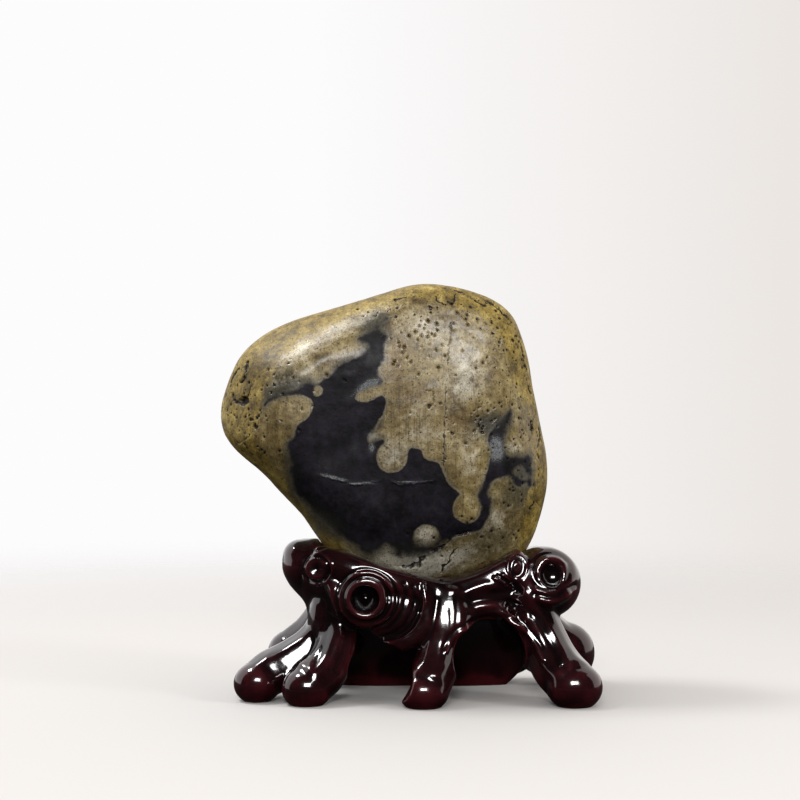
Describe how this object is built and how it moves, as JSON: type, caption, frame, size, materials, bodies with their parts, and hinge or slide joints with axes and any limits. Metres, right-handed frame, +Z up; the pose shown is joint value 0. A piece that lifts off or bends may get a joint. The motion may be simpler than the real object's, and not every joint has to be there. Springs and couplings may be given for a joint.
{
  "type": "river stone on carved stand",
  "caption": "Flattened, water-worn pebble with a dark patch pattern, standing upright in a seat cut into a glossy carved root stand with burls and arched gaps.",
  "frame": {"origin": "middle of the footprint, on the floor", "axes": "+Z up, -Y out of the stone's patterned face, +X to the viewer's right"},
  "size_m": [0.2916, 0.1524, 0.3138],
  "materials": {
    "river_stone": "water-worn and waxed",
    "carved_stand": "gloss lacquer"
  },
  "bodies": {
    "root": {"river_stone": "river_stone", "carved_stand": "carved_stand"}
  },
  "joints": []
}
